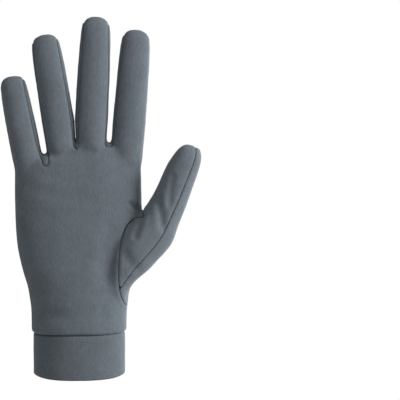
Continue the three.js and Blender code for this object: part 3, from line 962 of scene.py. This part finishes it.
# %% Node group: a folded band swept round the wrist
BAND = {"height": CUFF_HEIGHT, "thickness": 2.3, "hem": 1.1, "softness": 0.5, "seed": 4}
BAND_POWER = 2.2
BAND_SIDES = 240
SECTION_POINTS = 96
WAVES_PER_METRE = 70.0
HEM_LIFT = 1.9  # mm by which the hem rises at both sides of the wrist
HEM_REACH = 9.0
TONGUE = 3.2
TONGUE_FROM, TONGUE_INSIDE = 1.6, 0.99  # mm below the band's top, and share of its middle line


def value_node(tree, kind, **settings):
    node = tree.nodes.new(kind)
    for name, setting in settings.items():
        setattr(node, name, setting)
    return node


def band_group(material):
    """Sweeps a rounded flat loop along the path and makes its surface a little uneven."""
    tree = bpy.data.node_groups.new("Folded band", "GeometryNodeTree")
    face = tree.interface
    face.new_socket("Geometry", in_out="INPUT", socket_type="NodeSocketGeometry")
    for name in ("Height", "Thickness", "Hem radius", "Softness"):
        face.new_socket(name, in_out="INPUT", socket_type="NodeSocketFloat")
    face.new_socket("Seed", in_out="INPUT", socket_type="NodeSocketInt")
    face.new_socket("Geometry", in_out="OUTPUT", socket_type="NodeSocketGeometry")
    links = tree.links
    given, result = tree.nodes.new("NodeGroupInput"), tree.nodes.new("NodeGroupOutput")
    path = tree.nodes.new("GeometryNodeMeshToCurve")
    upright = value_node(tree, "GeometryNodeSetCurveNormal", mode="Z_UP")
    section = tree.nodes.new("GeometryNodeCurvePrimitiveQuadrilateral")
    fold = value_node(tree, "GeometryNodeFilletCurve", mode="POLY")
    fold.inputs["Count"].default_value = 8
    even = tree.nodes.new("GeometryNodeResampleCurve")
    even.inputs["Count"].default_value = SECTION_POINTS
    sweep = tree.nodes.new("GeometryNodeCurveToMesh")
    place, spread = tree.nodes.new("GeometryNodeInputPosition"), tree.nodes.new("ShaderNodeTexNoise")
    spread.noise_dimensions = "4D"
    spread.inputs["Scale"].default_value = WAVES_PER_METRE
    spread.inputs["Detail"].default_value = 2.0
    centred = value_node(tree, "ShaderNodeVectorMath", operation="SUBTRACT")
    centred.inputs[1].default_value = (0.5, 0.5, 0.5)
    pushed = value_node(tree, "ShaderNodeVectorMath", operation="SCALE")
    move = tree.nodes.new("GeometryNodeSetPosition")
    smooth = tree.nodes.new("GeometryNodeSetShadeSmooth")
    whole = tree.nodes.new("GeometryNodeRealizeInstances")
    paint = tree.nodes.new("GeometryNodeSetMaterial")
    paint.inputs["Material"].default_value = material
    links.new(given.outputs["Geometry"], path.inputs["Mesh"])
    links.new(path.outputs["Curve"], upright.inputs["Curve"])
    links.new(upright.outputs["Curve"], sweep.inputs["Curve"])
    links.new(given.outputs["Thickness"], section.inputs["Width"])
    links.new(given.outputs["Height"], section.inputs["Height"])
    links.new(section.outputs["Curve"], fold.inputs["Curve"])
    links.new(given.outputs["Hem radius"], fold.inputs["Radius"])
    links.new(fold.outputs["Curve"], even.inputs["Curve"])
    links.new(even.outputs["Curve"], sweep.inputs["Profile Curve"])
    links.new(place.outputs["Position"], spread.inputs["Vector"])
    links.new(given.outputs["Seed"], spread.inputs["W"])
    links.new(spread.outputs["Color"], centred.inputs[0])
    links.new(centred.outputs["Vector"], pushed.inputs[0])
    links.new(given.outputs["Softness"], pushed.inputs["Scale"])
    links.new(sweep.outputs["Mesh"], move.inputs["Geometry"])
    links.new(pushed.outputs["Vector"], move.inputs["Offset"])
    chain = (move, smooth, whole, paint, result)
    for before, after in zip(chain[:-1], chain[1:]):
        links.new(before.outputs["Geometry"], after.inputs["Geometry"])
    return tree


def add_band(material):
    middle = BAND["thickness"] / 2
    half_x = (CUFF_HIGH.x - CUFF_LOW.x) / 2 / MM - middle
    half_y = (CUFF_HIGH.y - CUFF_LOW.y) / 2 / MM - middle
    ring = oval((0, 0, CUFF_HEIGHT / 2), 0, half_x, half_y, half_y, BAND_POWER, BAND_SIDES) * MM
    mesh = bpy.data.meshes.new("wrist_band")
    edges = [(i, (i + 1) % BAND_SIDES) for i in range(BAND_SIDES)]
    mesh.from_pydata(ring.tolist(), edges, [])
    band = bpy.data.objects.new("wrist_band", mesh)
    scene.collection.objects.link(band)
    sweep = band.modifiers.new("band", "NODES")
    tree = band_group(material)
    sweep.node_group = tree
    inputs = {
        "Height": BAND["height"] * MM,
        "Thickness": BAND["thickness"] * MM,
        "Hem radius": BAND["hem"] * MM,
        "Softness": BAND["softness"] * MM,
        "Seed": BAND["seed"],
    }
    for socket in tree.interface.items_tree:
        if socket.in_out == "INPUT" and socket.name in inputs:
            sweep[socket.identifier] = inputs[socket.name]
    depsgraph = bpy.context.evaluated_depsgraph_get()
    baked = bpy.data.meshes.new_from_object(band.evaluated_get(depsgraph))
    band.modifiers.remove(sweep)
    band.data = baked
    for vertex in baked.vertices:
        x, y, z = vertex.co / MM
        near_hem = max(0.0, 1 - z / HEM_REACH)
        vertex.co.z += HEM_LIFT * near_hem * (x / half_x) ** 4 * MM
        across = (abs(x / half_x) ** BAND_POWER + abs(y / half_y) ** BAND_POWER) ** (1 / BAND_POWER)
        if z > CUFF_HEIGHT - TONGUE_FROM and across < TONGUE_INSIDE:
            vertex.co.z += TONGUE * MM
    return band


# %% [markdown]
# The cloth is a thin interlock knit with a brushed face: matt, with a faint bloom at grazing
# light, fine upright rows of stitches and a slightly uneven dye. These effects are needed on
# every panel, so each is a group that gives out only numbers and colours. The shader stays in
# the material, where the finish of each slot can be seen at a glance.

# %% Node groups for the knit
def new_group(name, inputs, outputs):
    tree = bpy.data.node_groups.new(name, "ShaderNodeTree")
    for socket, kind in inputs:
        tree.interface.new_socket(socket, in_out="INPUT", socket_type=kind)
    for socket, kind in outputs:
        tree.interface.new_socket(socket, in_out="OUTPUT", socket_type=kind)
    return tree, tree.nodes.new("NodeGroupInput"), tree.nodes.new("NodeGroupOutput")


def knit_group():
    """Height of the knit's surface: upright rows of stitches under a brushed fuzz."""
    tree, given, result = new_group(
        "Knit surface",
        [("Place", "NodeSocketVector"), ("Row spacing", "NodeSocketFloat")],
        [("Height", "NodeSocketFloat"), ("Mottle", "NodeSocketFloat")],
    )
    links = tree.links
    spaced = value_node(tree, "ShaderNodeVectorMath", operation="SCALE")
    per = value_node(tree, "ShaderNodeMath", operation="DIVIDE")
    per.inputs[0].default_value = 1.0
    links.new(given.outputs["Row spacing"], per.inputs[1])
    links.new(given.outputs["Place"], spaced.inputs[0])
    links.new(per.outputs["Value"], spaced.inputs["Scale"])
    long = value_node(tree, "ShaderNodeVectorMath", operation="MULTIPLY")
    long.inputs[1].default_value = (1.0, 1.0, 0.3)
    links.new(spaced.outputs["Vector"], long.inputs[0])
    rows, fuzz, dye = (tree.nodes.new("ShaderNodeTexNoise") for _ in range(3))
    rows.inputs["Scale"].default_value = 1.0
    rows.inputs["Detail"].default_value = 2.0
    fuzz.inputs["Scale"].default_value = 2.2
    fuzz.inputs["Detail"].default_value = 3.0
    dye.inputs["Scale"].default_value = 0.07
    dye.inputs["Detail"].default_value = 4.0
    links.new(long.outputs["Vector"], rows.inputs["Vector"])
    links.new(spaced.outputs["Vector"], fuzz.inputs["Vector"])
    links.new(spaced.outputs["Vector"], dye.inputs["Vector"])
    both = value_node(tree, "ShaderNodeMath", operation="ADD")
    links.new(rows.outputs["Fac"], both.inputs[0])
    links.new(fuzz.outputs["Fac"], both.inputs[1])
    links.new(both.outputs["Value"], result.inputs["Height"])
    links.new(dye.outputs["Fac"], result.inputs["Mottle"])
    return tree


def shade_group():
    """Colour of the cloth: dye a little uneven, lighter where the knit stands higher and darker where
    it is lower, and painted shade down in the seams.
    """
    tree, given, result = new_group(
        "Cloth colour",
        [
            ("Colour", "NodeSocketColor"),
            ("Mottle", "NodeSocketFloat"),
            ("Height", "NodeSocketFloat"),
            ("From seam", "NodeSocketFloat"),
        ],
        [("Colour", "NodeSocketColor")],
    )
    links = tree.links
    dye, by_knit_height, seam = (tree.nodes.new("ShaderNodeMapRange") for _ in range(3))
    limits = ((dye, 0.3, 0.7, 0.93, 1.07), (by_knit_height, 0.6, 1.4, 0.8, 1.2), (seam, 0.1, 1.0, 0.78, 1.0))
    for node, low, high, dark, light in limits:
        node.inputs["From Min"].default_value = low
        node.inputs["From Max"].default_value = high
        node.inputs["To Min"].default_value = dark
        node.inputs["To Max"].default_value = light
    links.new(given.outputs["Mottle"], dye.inputs["Value"])
    # the knit's height tints the colour: lighter where it stands higher, darker where it is lower
    links.new(given.outputs["Height"], by_knit_height.inputs["Value"])
    # painted shade down in the seams: the colour darkens within a millimetre of a seam's line
    links.new(given.outputs["From seam"], seam.inputs["Value"])
    first = value_node(tree, "ShaderNodeMath", operation="MULTIPLY")
    second = value_node(tree, "ShaderNodeMath", operation="MULTIPLY")
    links.new(dye.outputs["Result"], first.inputs[0])
    links.new(by_knit_height.outputs["Result"], first.inputs[1])
    links.new(first.outputs["Value"], second.inputs[0])
    links.new(seam.outputs["Result"], second.inputs[1])
    scaled = value_node(tree, "ShaderNodeVectorMath", operation="SCALE")
    links.new(given.outputs["Colour"], scaled.inputs[0])
    links.new(second.outputs["Value"], scaled.inputs["Scale"])
    links.new(scaled.outputs["Vector"], result.inputs["Colour"])
    return tree


KNIT, SHADE = knit_group(), shade_group()
BUMP = 0.15 * MM
# The four slots are one cloth. Their colours differ only as painted light and shade: the thumb's panels
# painted lighter, the strips between the fingers and the wrist band painted darker than the hand.
# colour, row spacing in mm, roughness, bloom
FINISHES = {
    "hand_knit": ((0.118, 0.139, 0.159), 0.95, 0.85, 0.25),
    "strip_knit": ((0.105, 0.124, 0.142), 0.95, 0.88, 0.2),
    "thumb_knit": ((0.136, 0.159, 0.180), 0.95, 0.85, 0.25),
    "cuff_knit": ((0.110, 0.129, 0.147), 0.95, 0.88, 0.22),
}


def cloth_material(name, colour, spacing, roughness, bloom):
    material = bpy.data.materials.new(name)
    material.use_nodes = True
    nodes, links = material.node_tree.nodes, material.node_tree.links
    shader = nodes["Principled BSDF"]
    shader.inputs["Roughness"].default_value = roughness
    shader.inputs["Specular IOR Level"].default_value = 0.25
    shader.inputs["Sheen Weight"].default_value = bloom
    shader.inputs["Sheen Roughness"].default_value = 0.45
    shader.inputs["Sheen Tint"].default_value = (0.8, 0.88, 1.0, 1.0)
    place = nodes.new("ShaderNodeTexCoord")
    in_mm = nodes.new("ShaderNodeVectorMath")
    in_mm.operation = "SCALE"
    in_mm.inputs["Scale"].default_value = 1 / MM
    knit, shade = nodes.new("ShaderNodeGroup"), nodes.new("ShaderNodeGroup")
    knit.node_tree, shade.node_tree = KNIT, SHADE
    knit.inputs["Row spacing"].default_value = spacing
    shade.inputs["Colour"].default_value = (*colour, 1.0)
    # distance to the nearest seam, for the painted shade down in the seams
    seam = nodes.new("ShaderNodeAttribute")
    seam.attribute_name = "from_seam"
    bump = nodes.new("ShaderNodeBump")
    bump.inputs["Strength"].default_value = 0.5
    bump.inputs["Distance"].default_value = BUMP
    links.new(place.outputs["Object"], in_mm.inputs[0])
    links.new(in_mm.outputs["Vector"], knit.inputs["Place"])
    links.new(knit.outputs["Mottle"], shade.inputs["Mottle"])
    links.new(knit.outputs["Height"], shade.inputs["Height"])
    links.new(seam.outputs["Fac"], shade.inputs["From seam"])
    links.new(shade.outputs["Colour"], shader.inputs["Base Color"])
    links.new(knit.outputs["Height"], bump.inputs["Height"])
    links.new(bump.outputs["Normal"], shader.inputs["Normal"])
    return material


materials = {name: cloth_material(name, *finish) for name, finish in FINISHES.items()}
pieces["wrist_band"] = add_band(materials["cuff_knit"])
print("band:", len(pieces["wrist_band"].data.polygons), "faces")

# %% [markdown]
# Each piece of cloth now takes its material and stands for its measured node. The main cloth
# stands for two nodes, because the measured glove parts it along its fold.

# %% Hand the pieces over
FAR_FROM_SEAM = 5.0  # mm
PARTS = {
    "main_cloth": ("hand_knit", ["palm_panel", "back_panel"]),
    "strip_ring_little": ("strip_knit", ["fourchette_ring_little"]),
    "strip_middle_ring": ("strip_knit", ["fourchette_middle_ring"]),
    "strip_index_middle": ("strip_knit", ["fourchette_index_middle"]),
    "thumb_inner_panel": ("thumb_knit", ["thumb_inner"]),
    "thumb_outer_panel": ("thumb_knit", ["thumb_outer"]),
    "wrist_band": ("cuff_knit", ["cuff_band"]),
}


def set_distance(piece, value):
    """A piece with no seam line on it counts as far from every seam."""
    attribute = piece.data.attributes.new("from_seam", "FLOAT", "POINT")
    count = len(piece.data.vertices)
    attribute.data.foreach_set("value", np.full(count, value, np.float32))


set_distance(pieces["wrist_band"], FAR_FROM_SEAM)
for name, (slot, nodes) in PARTS.items():
    piece = pieces[name]
    piece.data.materials.clear()
    piece.data.materials.append(materials[slot])
    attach(piece, "root")
    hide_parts(*nodes)
triangles = sum(len(p.vertices) - 2 for piece in pieces.values() for p in piece.data.polygons)
print(len(pieces), "pieces,", triangles, "triangles")
